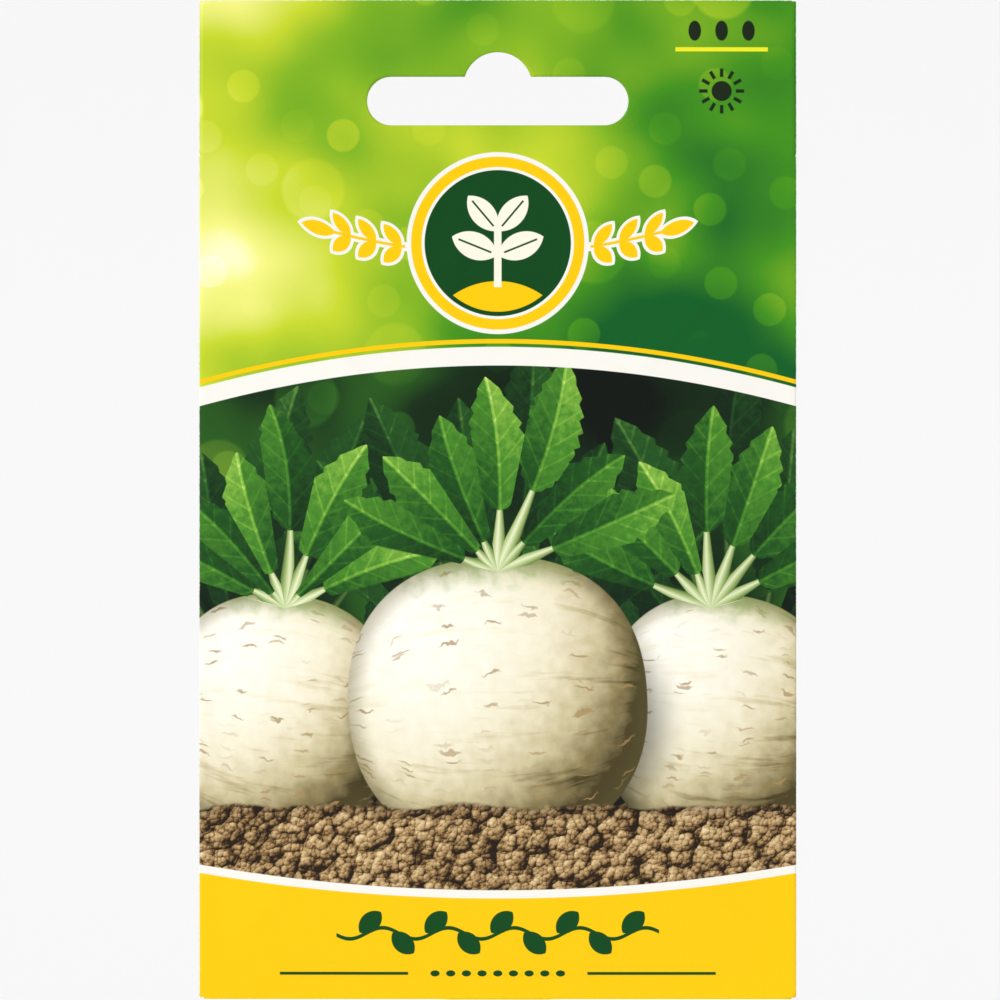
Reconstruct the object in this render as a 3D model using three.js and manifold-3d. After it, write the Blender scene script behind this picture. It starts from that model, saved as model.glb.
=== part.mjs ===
// A printed paper seed packet that hangs from a display peg.
//
// Units are millimetres. The origin is the point where the packet hangs on the peg: the top of the
// round notch in its hanging slot, halfway through the paper. +X is to the right as the front is
// seen, +Y goes from the front to the back, and +Z is up.
//
// The packet is one paper blank, folded and glued: a front panel, two back panels that lap in a
// middle seam, a header flap folded over the top and a bottom flap folded over the foot. Inside
// lies a foil-lined sachet, sealed all round, with the seeds settled in its lower part.

import * as THREE from "three";
import { mergeVertices } from "three/addons/utils/BufferGeometryUtils.js";
import Module from "manifold-3d";

const wasm = await Module();
wasm.setup();

// ---- Driving dimensions ---------------------------------------------------------------------

const packetWidth = 80;
const packetHeight = 134;
const paper = 0.15; // thickness of the printed paper
const glue = 0.05; // thickness of a glue film
const halfGap = glue / 2; // from the packet's middle plane to the paper on either side of it

const slotWidth = 35;
const slotHeight = 6.5;
const notchRadius = 4.6;
const slotShoulder = 3.3; // how far the notch rises above the slot's straight upper edge
const notchBelowTop = 7; // from the packet's top edge down to the top of the notch

const top = notchBelowTop;
const bottom = top - packetHeight;
const side = packetWidth / 2;

const backTop = -14; // the upper edge of the back panels, below the slot
const headerFlapEnd = -27;
const headerStepStart = -12; // where the header flap starts to step over the back panels
const headerStepEnd = -13.6;
const bottomFlapEnd = bottom + 12;
const backFoot = bottom + 0.4; // the back panels stop just inside the bottom fold
const flapSide = side - 0.6; // the flaps are a little narrower than the packet

const lapHalf = 6; // the two back panels lap by twice this in the middle
const lapRampStart = -8.5;
const lapRampEnd = -6.5;
const lapClear = 0.2; // the flaps stay raised this far past the free edge of the lap
const seamGlueHalf = 4.5;
const flapGlueHalf = 37.5;
const headerGlueStart = headerFlapEnd + 1.5; // the glue stops short of each flap's free edge
const bottomGlueEnd = bottomFlapEnd - 1;
const headerGlueInset = 1.5; // and short of the header's own edges
const slotGlueInset = 0.6; // and short of the slot all round
const seamGlueInset = 1; // and short of the back seam's ends

// The filled chamber, which bulges equally to the front and the back.
const chamberHalfWidth = 37.5;
const chamberFoot = -124.5;
const chamberTop = -17;
const chamberBulge = 1.85;

// The sachet.
const film = 0.08;
const filmHalfGap = 0.005; // the two films lie face to face in the seals
const sachetHalfWidth = 33;
const sachetFoot = -121;
const sachetTop = -31;
const sealWidth = 5;
const sachetBulge = 1.5;

// The seeds that lie on top of the fill, in one layer next to the front film.
const seedColumns = 14;
const seedRows = 3;
const seedPitch = 3;
const seedLength = 2.6;
const seedWidth = 1.3;
const seedThickness = 0.85;
const seedLayerDepth = -0.5;
const fillTop = -75;

// ---- Curved sheets --------------------------------------------------------------------------

// Depth of a pillow at (x, z): full in the middle, zero at its outline, fullest low down because
// the contents settle. The power terms set how steeply it leaves the foot and the top.
function pillow(x, z, halfWidth, foot, head, depth, flatness, rise, fall) {
  const across = Math.abs(x) / halfWidth;
  const up = (z - foot) / (head - foot);
  if (across >= 1 || up <= 0 || up >= 1) return 0;
  const peak = rise / (rise + fall);
  const highest = peak ** rise * (1 - peak) ** fall;
  return (depth * (1 - across ** flatness) * up ** rise * (1 - up) ** fall) / highest;
}

const chamber = (x, z) =>
  pillow(x, z, chamberHalfWidth, chamberFoot, chamberTop, chamberBulge, 3, 0.8, 1.3);

const sachet = (x, z) =>
  pillow(
    x, z, sachetHalfWidth - sealWidth / 2, sachetFoot + sealWidth, sachetTop - sealWidth,
    sachetBulge, 4, 0.45, 1.1,
  );

// 0 before start, 1 after end, straight between them.
const ramp = (v, start, end) => Math.min(1, Math.max(0, (v - start) / (end - start)));

// A closed sheet over a grid of x and z lines, between the depths near(x, z) and far(x, z). Both
// faces split their quads along the same diagonal, so that one sheet fits against another.
function sheet(xs, zs, near, far) {
  const across = xs.length;
  const up = zs.length;
  const points = [];
  for (const depth of [near, far])
    for (const z of zs) for (const x of xs) points.push(x, depth(x, z), z);
  const at = (layer, i, j) => layer * across * up + j * across + i;
  const faces = [];
  const quad = (a, b, c, d) => faces.push(a, b, c, a, c, d);
  for (let j = 0; j + 1 < up; j++)
    for (let i = 0; i + 1 < across; i++) {
      quad(at(0, i, j), at(0, i + 1, j), at(0, i + 1, j + 1), at(0, i, j + 1));
      quad(at(1, i, j), at(1, i, j + 1), at(1, i + 1, j + 1), at(1, i + 1, j));
    }
  for (let i = 0; i + 1 < across; i++) {
    quad(at(0, i + 1, 0), at(0, i, 0), at(1, i, 0), at(1, i + 1, 0));
    quad(at(0, i, up - 1), at(0, i + 1, up - 1), at(1, i + 1, up - 1), at(1, i, up - 1));
  }
  for (let j = 0; j + 1 < up; j++) {
    quad(at(0, 0, j), at(0, 0, j + 1), at(1, 0, j + 1), at(1, 0, j));
    quad(at(0, across - 1, j + 1), at(0, across - 1, j), at(1, across - 1, j),
      at(1, across - 1, j + 1));
  }
  const geometry = new THREE.BufferGeometry();
  geometry.setAttribute("position", new THREE.Float32BufferAttribute(points, 3));
  geometry.setIndex(faces);
  return geometry;
}

function box(x0, x1, y0, y1, z0, z1) {
  const geometry = new THREE.BoxGeometry(x1 - x0, y1 - y0, z1 - z0);
  return geometry.translate((x0 + x1) / 2, (y0 + y1) / 2, (z0 + z1) / 2);
}

// ---- Joining and cutting --------------------------------------------------------------------

function solid(geometry) {
  const bare = geometry.clone();
  bare.deleteAttribute("normal");
  bare.deleteAttribute("uv");
  const merged = mergeVertices(bare, 1e-4);
  return new wasm.Manifold(
    new wasm.Mesh({
      numProp: 3,
      vertProperties: new Float32Array(merged.attributes.position.array),
      triVerts: new Uint32Array(merged.index.array),
    }),
  );
}

function geometryOf(manifold) {
  const mesh = manifold.getMesh();
  const geometry = new THREE.BufferGeometry();
  geometry.setAttribute("position", new THREE.BufferAttribute(mesh.vertProperties, 3));
  geometry.setIndex(new THREE.BufferAttribute(mesh.triVerts, 1));
  geometry.computeVertexNormals();
  return geometry;
}

const joined = (geometries) => geometries.map(solid).reduce((whole, piece) => whole.add(piece));

// The hanging slot as a prism through the whole packet: a long round-ended slot with a round
// notch in the middle of its upper edge. `grow` widens it all round.
function slotCutter(grow = 0) {
  const half = slotHeight / 2 + grow;
  const middle = -slotShoulder - slotHeight / 2;
  const end = slotWidth / 2 - slotHeight / 2;
  const bar = new THREE.Shape();
  bar.absarc(end, middle, half, -Math.PI / 2, Math.PI / 2, false);
  bar.absarc(-end, middle, half, Math.PI / 2, (3 * Math.PI) / 2, false);
  const notch = new THREE.Shape();
  notch.absarc(0, -notchRadius, notchRadius + grow, 0, 2 * Math.PI, false);
  const depth = 4; // more than the packet's whole thickness at the slot
  const prisms = [bar, notch].map((outline) => {
    const options = { depth, bevelEnabled: false, curveSegments: 14 };
    const prism = new THREE.ExtrudeGeometry(outline, options);
    return prism.translate(0, 0, -depth / 2).rotateX(Math.PI / 2);
  });
  return joined(prisms);
}

// ---- The printed envelope -------------------------------------------------------------------

// All sheets of the envelope and its glue films share these lines, so that they lie face to face.
const edgeLines = [-side, -37.5, -33, -28, -22, -15];
const xLines = [
  ...edgeLines, lapRampStart, lapRampEnd, -seamGlueHalf, 0, seamGlueHalf, lapHalf,
  lapHalf + lapClear, -lapRampStart, ...edgeLines.map((x) => -x).reverse(),
];
const chamberLines = [
  chamberFoot, -121, -117, bottomGlueEnd, bottomFlapEnd, -111, -106, -100, -93, -85, -77, -69,
  -61, -53, -45, -37, -31, headerFlapEnd, headerGlueStart, -22, chamberTop,
];
const nearest = 0.05; // a line closer than this to a sheet's edge is left out of it
const between = (lines, low, high) => [
  low,
  ...lines.filter((v) => v > low + nearest && v < high - nearest),
  high,
];

// How far the lap raises what lies over the back panels.
const lapStep = (x) => (paper + glue) * ramp(x, lapRampStart, lapRampEnd);
const lapStepUnderFlap = (x) =>
  lapStep(x) * (1 - ramp(x, lapHalf + lapClear, -lapRampStart));

const frontInner = (x, z) => -halfGap - chamber(x, z);
const frontOuter = (x, z) => frontInner(x, z) - paper;
const backInner = (x, z) => halfGap + chamber(x, z);
const backOuter = (x, z) => backInner(x, z) + paper;
const lapInner = (x, z) => backInner(x, z) + lapStep(x);
const lapOuter = (x, z) => lapInner(x, z) + paper;
const underFlap = (x, z) => backOuter(x, z) + lapStepUnderFlap(x);

// The header flap lies on the front panel at the top and steps out over the back panels.
const headerStep = (z) => 1 - ramp(z, headerStepEnd, headerStepStart);
const headerInner = (x, z) =>
  halfGap + headerStep(z) * (underFlap(x, z) + glue - halfGap);
const headerOuter = (x, z) => headerInner(x, z) + paper;

const bottomInner = (x, z) => underFlap(x, z) + glue;
const bottomOuter = (x, z) => bottomInner(x, z) + paper;

function envelope() {
  const flapXs = between(xLines, -flapSide, flapSide);
  const front = sheet(
    xLines, between(chamberLines, bottom, top), frontOuter, frontInner,
  );
  const rightBack = sheet(
    between(xLines, -lapHalf, side), between(chamberLines, backFoot, backTop),
    backInner, backOuter,
  );
  const leftBack = sheet(
    between(xLines, -side, lapHalf), between(chamberLines, backFoot, backTop),
    lapInner, lapOuter,
  );
  const sideFolds = [-side, side - paper].map((x) =>
    box(x, x + paper, -halfGap - paper, halfGap + paper, backFoot, backTop),
  );
  const headerZs = between(
    [...chamberLines, headerStepEnd, headerStepStart], headerFlapEnd, top,
  );
  const headerFlap = sheet(flapXs, headerZs, headerInner, headerOuter);
  const topFold = box(
    -flapSide, flapSide, -halfGap - paper, halfGap + paper, top - paper, top,
  );
  const bottomZs = between(chamberLines, bottom, bottomFlapEnd);
  const bottomFlap = sheet(flapXs, bottomZs, bottomInner, bottomOuter);
  const foldZs = [bottom, bottom + paper];
  const bottomFold = sheet(flapXs, foldZs, frontOuter, bottomOuter);
  const folded = joined([
    front, rightBack, leftBack, ...sideFolds, headerFlap, topFold, bottomFlap, bottomFold,
  ]);
  return geometryOf(folded.subtract(slotCutter()));
}

// ---- The glue films -------------------------------------------------------------------------

// Joins the header flap to the back of the front panel, clear of the slot all round.
function headerGlue() {
  const half = flapSide - headerGlueInset;
  const foot = headerStepStart + slotGlueInset;
  const block = box(-half, half, -halfGap, halfGap, foot, top - headerGlueInset);
  return geometryOf(solid(block).subtract(slotCutter(slotGlueInset)));
}

// Joins the header flap to the upper edges of the back panels.
function headerFlapGlue() {
  const xs = between(xLines, -flapGlueHalf, flapGlueHalf);
  const zs = between(chamberLines, headerGlueStart, backTop - slotGlueInset);
  return sheet(xs, zs, underFlap, (x, z) => underFlap(x, z) + glue);
}

// Joins the left back panel to the right one, down the middle of the back.
function backSeamGlue() {
  const xs = between(xLines, -seamGlueHalf, seamGlueHalf);
  const zs = between(chamberLines, backFoot + seamGlueInset, backTop - seamGlueInset);
  return sheet(xs, zs, backOuter, (x, z) => backOuter(x, z) + glue);
}

// Joins the bottom flap to the foot of the back panels.
function bottomFlapGlue() {
  const xs = between(xLines, -flapGlueHalf, flapGlueHalf);
  const zs = between(chamberLines, backFoot + slotGlueInset, bottomGlueEnd);
  return sheet(xs, zs, underFlap, (x, z) => underFlap(x, z) + glue);
}

// ---- The sachet -----------------------------------------------------------------------------

const sachetXs = [-sachetHalfWidth, -30, -27, -22, -15, -8, 0, 8, 15, 22, 27, 30, sachetHalfWidth];
const sachetZs = [
  sachetFoot, sachetFoot + sealWidth, -113, -110, -105, -98, -90, -80, -70, -60, -50, -42,
  sachetTop - sealWidth, sachetTop,
];
const filmInner = (x, z) => filmHalfGap + sachet(x, z);
const filmOuter = (x, z) => filmInner(x, z) + film;

const sachetBack = () => sheet(sachetXs, sachetZs, filmInner, filmOuter);
const sachetFront = () =>
  sheet(sachetXs, sachetZs, (x, z) => -filmOuter(x, z), (x, z) => -filmInner(x, z));

// ---- The seeds ------------------------------------------------------------------------------

// One half-fruit of parsley: a slim oval, pointed a little at both ends.
function seedGeometry() {
  const geometry = new THREE.SphereGeometry(0.5, 6, 4);
  return geometry.scale(seedWidth, seedLength, seedThickness).rotateX(Math.PI / 2);
}

// Seeds lie at all angles in the plane of the packet. The golden angle spreads them evenly.
function seedAngle(index) {
  const goldenAngle = Math.PI * (3 - Math.sqrt(5));
  return index * goldenAngle;
}

// ---- The assembly ---------------------------------------------------------------------------

const material = (color, roughness, metalness = 0) =>
  new THREE.MeshStandardMaterial({ color, roughness, metalness });

const printedPaper = material(0x7fb02a, 0.45);
const foilPaper = material(0xdcdcd6, 0.4);
const dryGlue = material(0xe9dfc0, 0.5);
const seedCoat = material(0x8a7448, 0.85);

function mesh(name, geometry, finish) {
  const made = new THREE.Mesh(geometry, finish);
  made.name = name;
  return made;
}

const packet = new THREE.Group();
packet.add(
  mesh("printed_envelope", envelope(), printedPaper),
  mesh("header_glue", headerGlue(), dryGlue),
  mesh("header_flap_glue", headerFlapGlue(), dryGlue),
  mesh("back_seam_glue", backSeamGlue(), dryGlue),
  mesh("bottom_flap_glue", bottomFlapGlue(), dryGlue),
  mesh("sachet_front_film", sachetFront(), foilPaper),
  mesh("sachet_back_film", sachetBack(), foilPaper),
);

const seeds = new THREE.Group();
for (let row = 0; row < seedRows; row++)
  for (let column = 0; column < seedColumns; column++) {
    const index = row * seedColumns + column;
    const seed = mesh(
      "seed_" + String(index + 1).padStart(2, "0"), seedGeometry(), seedCoat,
    );
    const x = (column - (seedColumns - 1) / 2) * seedPitch;
    seed.position.set(x, seedLayerDepth, fillTop - row * seedPitch);
    seed.rotation.y = seedAngle(index);
    seeds.add(seed);
  }
packet.add(seeds);

export default packet;
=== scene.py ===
import math

import bmesh
import bpy
import numpy as np
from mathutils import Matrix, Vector


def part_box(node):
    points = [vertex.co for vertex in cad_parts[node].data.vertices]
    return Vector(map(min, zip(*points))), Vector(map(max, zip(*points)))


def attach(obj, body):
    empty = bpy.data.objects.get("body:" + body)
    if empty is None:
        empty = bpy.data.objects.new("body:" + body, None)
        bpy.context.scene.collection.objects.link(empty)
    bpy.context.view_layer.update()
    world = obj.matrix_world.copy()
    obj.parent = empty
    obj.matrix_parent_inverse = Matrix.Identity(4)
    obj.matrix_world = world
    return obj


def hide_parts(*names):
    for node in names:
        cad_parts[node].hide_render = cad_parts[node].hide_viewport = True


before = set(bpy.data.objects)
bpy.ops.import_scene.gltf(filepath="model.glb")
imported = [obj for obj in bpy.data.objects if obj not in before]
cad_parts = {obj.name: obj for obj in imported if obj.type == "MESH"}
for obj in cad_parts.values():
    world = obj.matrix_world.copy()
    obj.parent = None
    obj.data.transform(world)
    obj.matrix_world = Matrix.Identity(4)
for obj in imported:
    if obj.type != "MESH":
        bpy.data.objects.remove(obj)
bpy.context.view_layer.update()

mm = 0.001


# ---- The printed envelope: its sheet --------------------------------------------------------
# One blank of coated paper, printed on one side, punched with the hanging slot, then folded and
# glued round the sachet: a front panel with the header, two back panels that lap in a middle
# seam, a flap folded over the header's top edge and a flap folded over the foot.

envelope_low, envelope_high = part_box("printed_envelope")
header_glue_low, header_glue_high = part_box("header_flap_glue")
_, foot_glue_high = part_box("bottom_flap_glue")

half_width = envelope_high.x / mm
top = envelope_high.z / mm
foot = envelope_low.z / mm
paper = 0.12
header_gap = 0.085  # from the middle plane to each sheet's middle in the glued header
edge_gap = 0.2  # and at the folded sides, where the paper springs open a little
layer = 0.19  # from one lapped sheet's middle to the next
flap_side = half_width - 0.6  # the flaps are a little narrower than the packet
header_flap_end = header_glue_low.z / mm - 1.5  # each glue stops short of its flap's free edge
foot_flap_end = foot_glue_high.z / mm + 1
back_top = header_glue_high.z / mm + 0.6  # the upper flap's glue stops short of this edge too
back_foot = foot + 0.5  # the back panels stop just above the bend round the foot
lap_half = 6  # the back panels lap by twice this in the middle
foot_bend = 0.36  # the height that the bend round the foot takes

slot_half = 17.5
slot_radius = 3.25
notch_radius = 4.6
notch_rise = 3.3  # how far the notch rises above the slot's straight upper edge
slot_middle = -notch_rise - slot_radius

chamber_half = 37.5
chamber_foot = -124.5
chamber_top = -17
chamber_bulge = 1.68


def smooth(value, start, end):
    """0 before start and 1 after end, with an S-shaped rise between them."""
    share = np.clip((value - start) / (end - start), 0, 1)
    return share * share * (3 - 2 * share)


def pillow(x, z, half, low, high, bulge, flatness, rise, fall):
    """How far a filled bag stands out: bulge in the middle, none at its outline, fullest low
    down. Across it falls as 1 - (x / half) ** flatness. Upwards it goes as a share of the
    height to the power rise, times the share that is left to the power fall."""
    across = np.clip(np.abs(x) / half, 0, 1)
    up = np.clip((z - low) / (high - low), 0, 1)
    peak = rise / (rise + fall)
    highest = peak**rise * (1 - peak) ** fall
    return bulge * (1 - across**flatness) * up**rise * (1 - up) ** fall / highest


# Soft creases in the filled paper: each runs from one point to another as seen from the front,
# in mm, with its half width and its height. They run inwards from all round the filled part, the
# highest from its corners.
creases = (
    ((-38, -22), (-13, -50), 1.1, 0.19),
    ((-36, -36), (-20, -58), 1.3, -0.10),
    ((-37, -60), (-26, -72), 1.1, 0.10),
    ((38, -24), (17, -44), 1.0, 0.18),
    ((37, -40), (24, -68), 1.2, -0.10),
    ((37, -78), (25, -84), 1.0, 0.09),
    ((-3, -17), (-8, -37), 1.6, 0.09),
    ((12, -18), (8, -35), 1.3, 0.08),
    ((24, -20), (20, -30), 1.0, -0.07),
    ((-38, -122), (-20, -102), 1.1, 0.12),
    ((-37, -108), (-26, -90), 1.3, -0.09),
    ((38, -123), (22, -105), 1.1, 0.12),
    ((37, -106), (29, -86), 1.4, -0.08),
    ((-9, -124), (-4, -110), 1.3, 0.08),
    ((11, -124), (14, -111), 1.2, 0.08),
)


def crumple(x, z):
    """The sum of the creases. Each is a ridge of Gaussian section along its line, and fades to
    nothing at both ends as four times the share run times the share left."""
    total = np.zeros_like(x)
    for start, end, half, height in creases:
        run = np.subtract(end, start)
        share = ((x - start[0]) * run[0] + (z - start[1]) * run[1]) / (run @ run)
        held = np.clip(share, 0, 1)
        off = np.hypot(x - start[0] - held * run[0], z - start[1] - held * run[1])
        total += height * np.exp(-((off / half) ** 2)) * 4 * held * (1 - held)
    return total


def side_gap(z):
    """Half the distance between the front and the back sheet at the sides: the header's, widening
    to that of the folded sides below it and closing again at the foot."""
    opening = smooth(-z, -back_top - 1, -back_top + 4) * smooth(z, foot, foot + 6)
    return header_gap + (edge_gap - header_gap) * opening


def swell(x, z):
    """Half the distance between the front and the back sheet anywhere: that at the sides, plus
    the bulge of the filled part and its creases."""
    bulge = pillow(x, z, chamber_half, chamber_foot, chamber_top, chamber_bulge,
                   flatness=2.6, rise=0.8, fall=1.25)
    return side_gap(z) + bulge + crumple(x, z) * smooth(bulge, 0, 0.35)


def bow(x, z):
    """How far all the sheets bend together. The header curls back towards its corners as the
    square of x, the body is twisted in proportion to x and to the way down, and a slow sine
    wave runs down its sides."""
    curl = 0.5 * smooth(z, -18, top) * (x / half_width) ** 2
    twist = 0.22 * (x / half_width) * (z - top) / (top - foot)
    wave = 0.1 * (x / half_width) ** 2 * np.sin(z / 11.5)
    return curl + twist + wave


def front_depth(x, z):
    """The front sheet's middle, swell in front of the bow."""
    return bow(x, z) - swell(x, z)


def under_depth(x, z):
    """The right back panel's middle, swell behind the bow."""
    return bow(x, z) + swell(x, z)


def lapped(x):
    """1 where the left back panel has climbed on to the right one, and 0 before that."""
    return smooth(x, -lap_half - 2.5, -lap_half - 0.3)


def lap_depth(x, z):
    """The left back panel's middle: it climbs one layer where it laps over the right one."""
    return under_depth(x, z) + layer * lapped(x)


def raised(x, z):
    """What the flaps rest on: the left back panel as far as its free edge, and the right one
    past that."""
    return under_depth(x, z) + layer * lapped(x) * (1 - smooth(x, lap_half, lap_half + 2.5))


def header_flap_depth(x, z):
    """The header flap's middle: against the front panel at the top, and one layer behind the
    back panels below their upper edge."""
    on_back = smooth(-z, -back_top - 2.2, -back_top - 0.4)
    lifted = layer * (1 + 0.9 * smooth(-z, -header_flap_end - 2.5, -header_flap_end))
    behind_front = bow(x, z) + header_gap
    return behind_front + on_back * (raised(x, z) + lifted - behind_front)


def foot_flap_depth(x, z):
    """The foot flap's middle: one layer behind the back panels, lifting at its free edge."""
    return raised(x, z) + layer * (1 + 0.8 * smooth(z, foot_flap_end - 2.5, foot_flap_end))


def grid_quads(columns, rows):
    """The quads between neighbouring points of a grid that is stored row by row."""
    corner = (np.arange(rows - 1)[:, None] * columns + np.arange(columns - 1)).ravel()
    return np.stack([corner, corner + 1, corner + columns + 1, corner + columns], axis=1)


def stretches(*stations):
    """Numbers from the first station to the last. Each pair (end, step) after the first sets how
    far a stretch runs and about how far apart its numbers are."""
    numbers = [stations[0]]
    for end, step in stations[1:]:
        count = max(1, round(abs(end - numbers[-1]) / step))
        numbers += list(np.linspace(numbers[-1], end, count + 1)[1:])
    return np.array(numbers)


# Grid lines of the sheets, finer round the slot. Its ring of faces fills a rectangle of them, and
# lines pass just beside its notch and near each end of its bar. The front is printed in zones,
# each with a material of its own, that end at the heights in zone_feet.
ring_side = 21
ring_low = -13
ring_high = 3.5
notch_line = 6
bar_line = 16
zone_feet = (-38, -66, -91, -107)
FRONT, HEADER_FLAP, BACK, FOOT_FLAP = 0, 5, 6, 7
finish_count = 8

right_lines = stretches(0, (notch_line, 0.5), (bar_line, 0.5), (ring_side, 0.5), (flap_side, 1.0),
                        (half_width, 0.6))
x_lines = np.concatenate([-right_lines[:0:-1], right_lines])
header_lines = stretches(back_top, (ring_low, 0.6), (ring_high, 0.6),
                         (top - header_gap - paper / 2, 0.6))
body_lines = stretches(foot + foot_bend, (back_foot, 0.2), (foot_flap_end, 1.0),
                       *((height, 1.0) for height in reversed(zone_feet)),
                       (header_flap_end, 1.0), (back_top, 0.9))


def slot_outline(shares, grow):
    """Points on the slot's edge, widened by grow all round, at the given shares of the way round
    it. That starts at the lower end of the right-hand arc and goes up: the right end, the upper
    edge with the round notch rising from it, the left end, and the lower edge."""
    end = slot_half - slot_radius
    radius = slot_radius + grow
    shoulder = slot_middle + radius
    lift = math.asin((shoulder + notch_radius) / (notch_radius + grow))
    turn = np.linspace(0, 1, 200)

    def arc(x, z, radius, start, stop):
        angle = start + (stop - start) * turn
        return np.stack([x + radius * np.cos(angle), z + radius * np.sin(angle)], axis=1)

    quarter = math.pi / 2
    edge = np.concatenate([
        arc(end, slot_middle, radius, -quarter, quarter),
        arc(0, -notch_radius, notch_radius + grow, lift, math.pi - lift),
        arc(-end, slot_middle, radius, quarter, 3 * quarter),
        [[end, slot_middle - radius]],
    ])
    run = np.concatenate([[0], np.cumsum(np.hypot(*np.diff(edge, axis=0).T))])
    at = shares * run[-1]
    return np.stack([np.interp(at, run, edge[:, 0]), np.interp(at, run, edge[:, 1])], axis=1)


def slot_ring(xs, zs, low, grow, steps=9):
    """The sheet between the slot, widened by grow, and the rectangle of grid lines round it,
    which starts at the height low. Points on the rectangle are tied to points on the slot's
    edge, evenly between matched corners. The rings between them are weighted means, and lie
    closer together near the slot."""
    inner_xs = xs[np.abs(xs) <= ring_side + 1e-6]
    inner_zs = zs[(zs >= low - 1e-6) & (zs <= ring_high + 1e-6)]
    right = np.stack([np.full(len(inner_zs), ring_side), inner_zs], axis=1)
    upper = np.stack([inner_xs[::-1], np.full(len(inner_xs), ring_high)], axis=1)
    left = np.stack([np.full(len(inner_zs), -ring_side), inner_zs[::-1]], axis=1)
    lower = np.stack([inner_xs, np.full(len(inner_xs), low)], axis=1)
    outer = np.concatenate([lower[:-1], right[:-1], upper[:-1], left[:-1]])
    start = int(np.argmin(np.abs(outer[:, 0] - bar_line) + np.abs(outer[:, 1] - low)))
    outer = np.roll(outer, -start, axis=0)
    outer = np.concatenate([outer, outer[:1]])
    run = np.concatenate([[0], np.cumsum(np.hypot(*np.diff(outer, axis=0).T))])

    end = slot_half - slot_radius
    lift = math.asin((slot_middle + slot_radius + notch_radius) / notch_radius)
    notch_arc = notch_radius * (math.pi - 2 * lift)
    straight = end - notch_radius * math.cos(lift)
    half_turn = math.pi * slot_radius
    edge_marks = np.cumsum([0, half_turn / 4, half_turn / 2, half_turn / 4, straight, notch_arc,
                            straight, half_turn / 4, half_turn / 2, half_turn / 4, 2 * end])
    corner = ring_side - bar_line
    height = ring_high - low
    flat = bar_line - notch_line
    outer_marks = np.cumsum([0, corner, height, corner, flat, 2 * notch_line,
                             flat, corner, height, corner, 2 * bar_line])
    inner = slot_outline(np.interp(run, outer_marks, edge_marks) / edge_marks[-1], grow)
    share = np.linspace(0, 1, steps)[:, None, None] ** 1.3
    rings = inner[None] * (1 - share) + outer[None] * share
    return rings.reshape(-1, 2), grid_quads(len(outer), steps)[:, ::-1]


class Blank:
    """Gathers the sheets of one piece, in mm, and joins them where their edges meet."""

    def __init__(self):
        self.points = []
        self.quads = []
        self.finishes = []
        self.count = 0

    def add(self, points, quads, finish):
        """Takes up the quads, and those of the points that they use."""
        used, numbers = np.unique(quads, return_inverse=True)
        self.points.append(points[used])
        self.quads.append(numbers.reshape(-1, 4) + self.count)
        self.finishes.append(np.full(len(quads), finish))
        self.count += len(used)

    def sheet(self, xs, zs, depth, finish=0, back=False, slot=False, edge=None, grow=0):
        """A flat panel on the lines xs and zs, pushed to depth(x, z). edge(z) narrows it. With
        slot, the hanging slot is left open in it, widened by grow."""
        x, z = np.meshgrid(xs, zs)
        flat = np.stack([x.ravel(), z.ravel()], axis=1)
        quads = grid_quads(len(xs), len(zs))
        parts = [(flat, quads)]
        if slot:
            middle = flat[quads].mean(axis=1)
            low = max(ring_low, zs[0])
            outside = (np.abs(middle[:, 0]) > ring_side) | (middle[:, 1] < low)
            outside |= middle[:, 1] > ring_high
            parts = [(flat, quads[outside]), slot_ring(xs, zs, low, grow)]
        for place, faces in parts:
            x, z = place.T
            y = depth(x, z)
            if edge is not None:
                x = x * edge(z)
            self.add(np.stack([x, y, z], axis=1), faces[:, ::-1] if back else faces, finish)

    def fold(self, start, end, outwards, finish=0, steps=7):
        """A half-round bend from the points start to the points end, which it meets. It stands
        out by half their distance in the direction outwards."""
        angle = np.linspace(0, math.pi, steps)[:, None, None]
        middle, reach = (start + end) / 2, (start - end) / 2
        radius = np.linalg.norm(reach, axis=1)[None, :, None]
        bend = middle + reach * np.cos(angle) + radius * np.sin(angle) * np.array(outwards)
        self.add(bend.reshape(-1, 3), grid_quads(len(start), steps), finish)

    def mesh(self, name):
        """The joined sheets as a mesh in metres, with their finishes as material numbers."""
        data = bpy.data.meshes.new(name)
        points = np.concatenate(self.points) * mm
        data.from_pydata(points.tolist(), [], np.concatenate(self.quads).tolist())
        data.polygons.foreach_set("material_index", np.concatenate(self.finishes).astype(np.int32))
        joined = bmesh.new()
        joined.from_mesh(data)
        bmesh.ops.remove_doubles(joined, verts=joined.verts, dist=2e-7)
        joined.to_mesh(data)
        joined.free()
        data.polygons.foreach_set("use_smooth", np.ones(len(data.polygons), dtype=bool))
        return data


def give_zones(data):
    """Numbers the front's faces by the zone that their middle lies in, from the top down."""
    middles = np.zeros(len(data.polygons) * 3)
    finishes = np.zeros(len(data.polygons), dtype=np.int32)
    data.polygons.foreach_get("center", middles)
    data.polygons.foreach_get("material_index", finishes)
    height = middles.reshape(-1, 3)[:, 2] / mm
    zone = (height[:, None] < np.array(zone_feet)).sum(axis=1)
    data.polygons.foreach_set("material_index", np.where(finishes == FRONT, zone, finishes))


def narrowed(z):
    """The share of their half width that the front and back panels reach to: less by the side
    folds' radius wherever the sides are folded."""
    fold = (side_gap(z) + paper / 2) / half_width
    return 1 - fold * smooth(-z, -back_top - 0.6, -back_top - 0.1)


def side_line(x, z, depth):
    """The points of a sheet's side edge, in the order of z."""
    return np.stack([x * narrowed(z), depth(np.full_like(z, x), z), z], axis=1)


blank = Blank()
all_lines = np.concatenate([body_lines, header_lines[1:]])
flap_xs = x_lines[np.abs(x_lines) <= flap_side + 1e-6]
blank.sheet(x_lines, all_lines, front_depth, FRONT, slot=True, edge=narrowed)

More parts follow.
